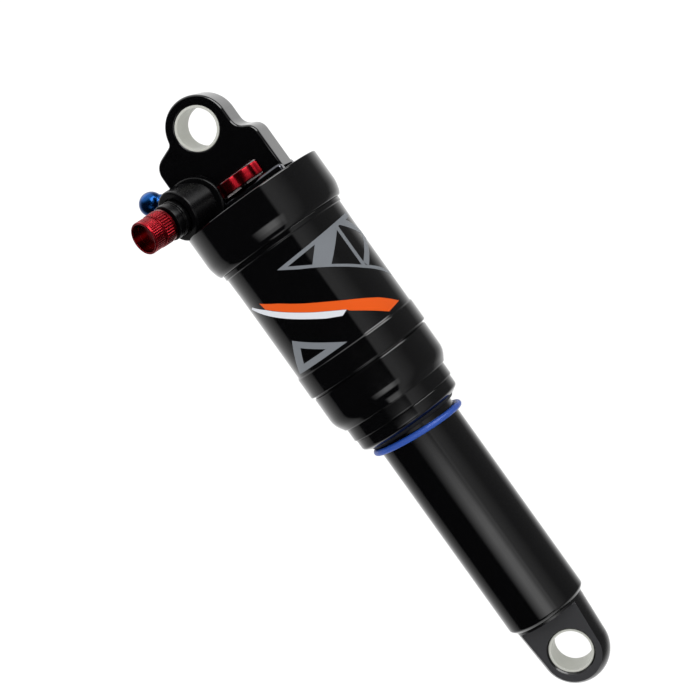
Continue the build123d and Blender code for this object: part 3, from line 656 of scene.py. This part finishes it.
print_on_sleeve("screen_printed_orange", "#DE5300", 0.4, [
    (seen((-54.5, -55.1), (-36, -58.4), (-16.1, -63.1), (11.3, -69.1), (38.9, -74.7),
          (57.2, -79.2)),
     seen((-52.5, -57.6), (-32.6, -62.4), (-14.6, -66.7), (8.6, -71.8), (10.3, -72.7),
          (39, -80.0)))])
print_on_sleeve("screen_printed_white", "#D6D9DF", 0.4, [
    (seen((-69, -54.8), (-52.5, -57.8), (-32.6, -62.5), (-14.6, -66.8), (8.6, -71.9)),
     seen((-73.6, -55.1), (-61.8, -57.9), (-34.2, -64.6), (-9.1, -70.5), (3, -72.7)))])
print_on_sleeve("screen_printed_grey", "#74787D", 0.4, [
    (seen((-19.1, -50.0), (16.6, -49.2), (74.2, -47.6)),
     seen((-10, -51.0), (19.4, -50.3), (49, -49.8), (74.3, -49.2))),
    (seen((-19.1, -50.0), (-3.9, -53.6), (8.4, -56.2), (22.6, -59.5), (44.3, -64.7),
          (78, -71.6)),
     seen((-10, -51.0), (7, -54.8), (20.4, -58.0), (44.7, -63.6), (78, -69.9))),
    (seen((19.4, -50.0), (7, -54.9)), seen((46.6, -49.9), (20.4, -58.1))),
    (seen((44.6, -49.9), (44.5, -63.8)), seen((48.4, -49.6), (48.4, -64.8))),
    (seen((49, -49.3), (71.5, -54.8), (85, -58.0)),
     seen((60.2, -48.6), (74.6, -52.3), (88, -56.0))),
    (seen((85, -54.5), (71.7, -57.3), (48.1, -63.2)),
     seen((88, -56.0), (71.9, -59.9), (51, -65.2))),
    (seen((-47.9, -70.1), (-6.1, -79.9)), seen((-44.8, -73.4), (-23.8, -78.2))),
    (seen((-47.9, -70.1), (-69.9, -80.1)), seen((-44.8, -73.4), (-53.3, -78.2))),
    (seen((-69.9, -80.1), (-6.1, -79.9)), seen((-55, -78.0), (-22, -78.0))),
])


# ---------------------------------------------------------------- seals at the neck
# The seal housing is screwed into the neck and carries the bush and the wiper: a black anodised
# ring with a rounded rubber lip that runs on the stanchion.
housing_low, housing_high = span("seal_housing")
wiper_low, wiper_high = span("wiper_seal")
HOUSING_STEP, WIPER_WALL, LIP_WALL, SEAT_GAP = 0.5, 1.85, 0.95, 0.02
HOUSING_R = NECK_R - HOUSING_STEP
housing_outline = rounded([
    (rod_r + BARE_GAP, housing_high[2], 0.1), (spigot_r - SEAT_GAP, housing_high[2], 0.1),
    (spigot_r - SEAT_GAP, neck_bottom, 0), (HOUSING_R, neck_bottom, 0.3),
    (HOUSING_R, housing_low[2] + 1.2, 0.7), (HOUSING_R - WIPER_WALL, housing_low[2], 0.3),
    (rod_r + WIPER_WALL, housing_low[2], 0.1), (rod_r + WIPER_WALL, wiper_high[2], 0),
    (rod_r + BARE_GAP, wiper_high[2], 0.1)])
piece("neck_ring", mesh_of("neck_ring", [skin(lathe(housing_outline))]), "air_can",
      gloss_black, ["seal_housing"])
# Moulded nitrile rubber: matt black, with a fine skin.
rubber, tree, shader = finish_of("moulded_nitrile_rubber", "#141414", 0.0, 0.6)
worn(tree, shader, 0.6, 0.5, 0.72, 0.01)
wiper_outline = rounded([
    (rod_r + 0.05, wiper_high[2], 0.1), (rod_r + WIPER_WALL - SEAT_GAP, wiper_high[2], 0.1),
    (rod_r + WIPER_WALL - SEAT_GAP, housing_low[2] - 0.1, 0.3),
    (rod_r + LIP_WALL, wiper_low[2], 0.5),
    (rod_r + 0.05, wiper_low[2], 0.15), (rod_r + 0.6, wiper_low[2] + 1.2, 0.2),
    (rod_r + 0.6, wiper_high[2] - 1.2, 0.2)])
piece("wiper_lip", mesh_of("wiper_lip", [skin(lathe(wiper_outline))]), "air_can",
      rubber, ["wiper_seal"])


# ---------------------------------------------------------------- sag ring
# A blue rubber ring pushed along the stanchion by the wiper, to show how far the shock sank. It
# sits a little askew.
sag_low, sag_high = span("sag_ring")
SAG_TILT = math.radians(4.2)
section_r = (sag_high[2] - sag_low[2]) / 2
sag_middle_r = sag_high[0] - section_r + 0.03
around = np.linspace(0, 2 * np.pi, 25)[:-1]
ring_outline = np.stack([sag_middle_r + section_r * np.cos(around), section_r * np.sin(around)], 1)
sag_lean = (math.sin(SAG_TILT), 0, math.cos(SAG_TILT))
sag_place = (0, 0, (sag_low[2] + sag_high[2]) / 2 - 0.4)
ring_rubber, tree, shader = finish_of("moulded_blue_nitrile_ring", "#1F4BA6", 0.0, 0.36)
worn(tree, shader, 0.8, 0.32, 0.5, 0.004)
marker = skin(lathe(ring_outline, sag_place, sag_lean))
piece("sag_marker_ring", mesh_of("sag_marker_ring", [marker]), "sag_ring", ring_rubber,
      ["sag_ring"])


# ---------------------------------------------------------------- stanchion
# The damper tube slides in the sleeve: hard anodised aluminium, ground and polished, near black
# with long clean reflections.
WALL = 2.25
STANCHION_CHAMFER = 1.4
tube_outline = rounded([
    (rod_r - WALL, stanchion_high[2], 0.1), (rod_r, stanchion_high[2], 0.3),
    (rod_r, stanchion_low[2] + STANCHION_CHAMFER, 0.5),
    (rod_r - STANCHION_CHAMFER, stanchion_low[2], 0.5), (rod_r - WALL, stanchion_low[2], 0.1)])
hard_coat, tree, shader = finish_of("polished_hard_anodised_stanchion", "#040405", 0.0, 0.11)
worn(tree, shader, 6.0, 0.09, 0.13)
piece("damper_tube", mesh_of("damper_tube", [skin(lathe(tube_outline, steps=256))]), "damper",
      hard_coat, ["stanchion"])


# ---------------------------------------------------------------- lower eyelet
# The end eyelet is screwed into the stanchion: aluminium, turned, milled with two flats and
# grained before it was anodised dark grey, so its flats look satin. Its bush sits just inside.
def dress(node, made):
    """Gives every slot of a CAD node one material."""
    target = frame["nodes"][node]
    if not target.material_slots:
        target.data.materials.append(made)
    for place in target.material_slots:
        place.material = made


FLAT_TOP = -187.2
FLAT_DEPTH = 0.05
grained, tree, shader = finish_of("black_anodised_grained_flats", "#2C2C2F", 0.0, 0.5)
place = add(tree, "TexCoord").outputs["Object"]
apart = add(tree, "SeparateXYZ", [(0, place)])
depth = add(tree, "Math", [(0, apart.outputs["Y"])], operation="ABSOLUTE")
far_out = add(tree, "Math", [(0, depth), (1, (EYE_HALF_WIDTH - FLAT_DEPTH) * MM)],
              operation="GREATER_THAN")
low_down = add(tree, "Math", [(0, apart.outputs["Z"]), (1, FLAT_TOP * MM)], operation="LESS_THAN")
on_flat = add(tree, "Math", [(0, far_out), (1, low_down)], operation="MULTIPLY")
tone = add(tree, "Mix", [(0, on_flat), (6, linear("#0A0A0B")), (7, linear("#2E2E31"))],
           data_type="RGBA")
tree.links.new(tone.outputs[2], shader.inputs["Base Color"])
roughness = add(tree, "Mix", [(0, on_flat), (2, 0.22), (3, 0.55)])
tree.links.new(roughness.outputs[0], shader.inputs["Roughness"])
grain = add(tree, "TexNoise", [("Vector", place), ("Scale", 1 / (0.35 * MM)), ("Detail", 2.0)])
raised = add(tree, "Math", [(0, grain), (1, on_flat)], operation="MULTIPLY")
bump = add(tree, "Bump", [("Height", raised), ("Strength", 0.5), ("Distance", 0.02 * MM)])
tree.links.new(bump.outputs[0], shader.inputs["Normal"])
dress("lower_eyelet", grained)
bush("lower_eyelet_bush", "lower_bush", "damper")


# ---------------------------------------------------------------- fasteners and inner pieces
# Plain steel and brass parts, turned aluminium pistons, and rubber rings, mostly inside.
steel, tree, shader = finish_of("turned_stainless_steel", "#B9BABC", 1.0, 0.28)
worn(tree, shader, 1.0, 0.22, 0.36)
for node in ("lever_screw", "lockout_spindle", "detent_ball", "detent_spring", "damper_shaft",
             "metering_rod", "piston_nut", "rebound_shims", "compression_shims", "charge_screw"):
    dress(node, steel)
brass, tree, shader = finish_of("turned_brass", "#C9A45A", 1.0, 0.3)
for node in ("valve_core", "valve_pin"):
    dress(node, brass)
bare, tree, shader = finish_of("turned_bare_aluminium", "#C6C8CA", 1.0, 0.34)
for node in ("main_piston", "air_piston", "floating_piston"):
    dress(node, bare)
glide, tree, shader = finish_of("filled_ptfe_band", "#7D5A3C", 0.0, 0.5)
for node in ("piston_band", "air_piston_band", "can_bush", "shaft_bush"):
    dress(node, glide)
for node in ("can_seal", "head_oring", "bottom_out_bumper", "shaft_seal", "seal_head_oring",
             "topout_bumper", "air_piston_seal", "end_cap_oring", "floating_piston_oring"):
    dress(node, rubber)
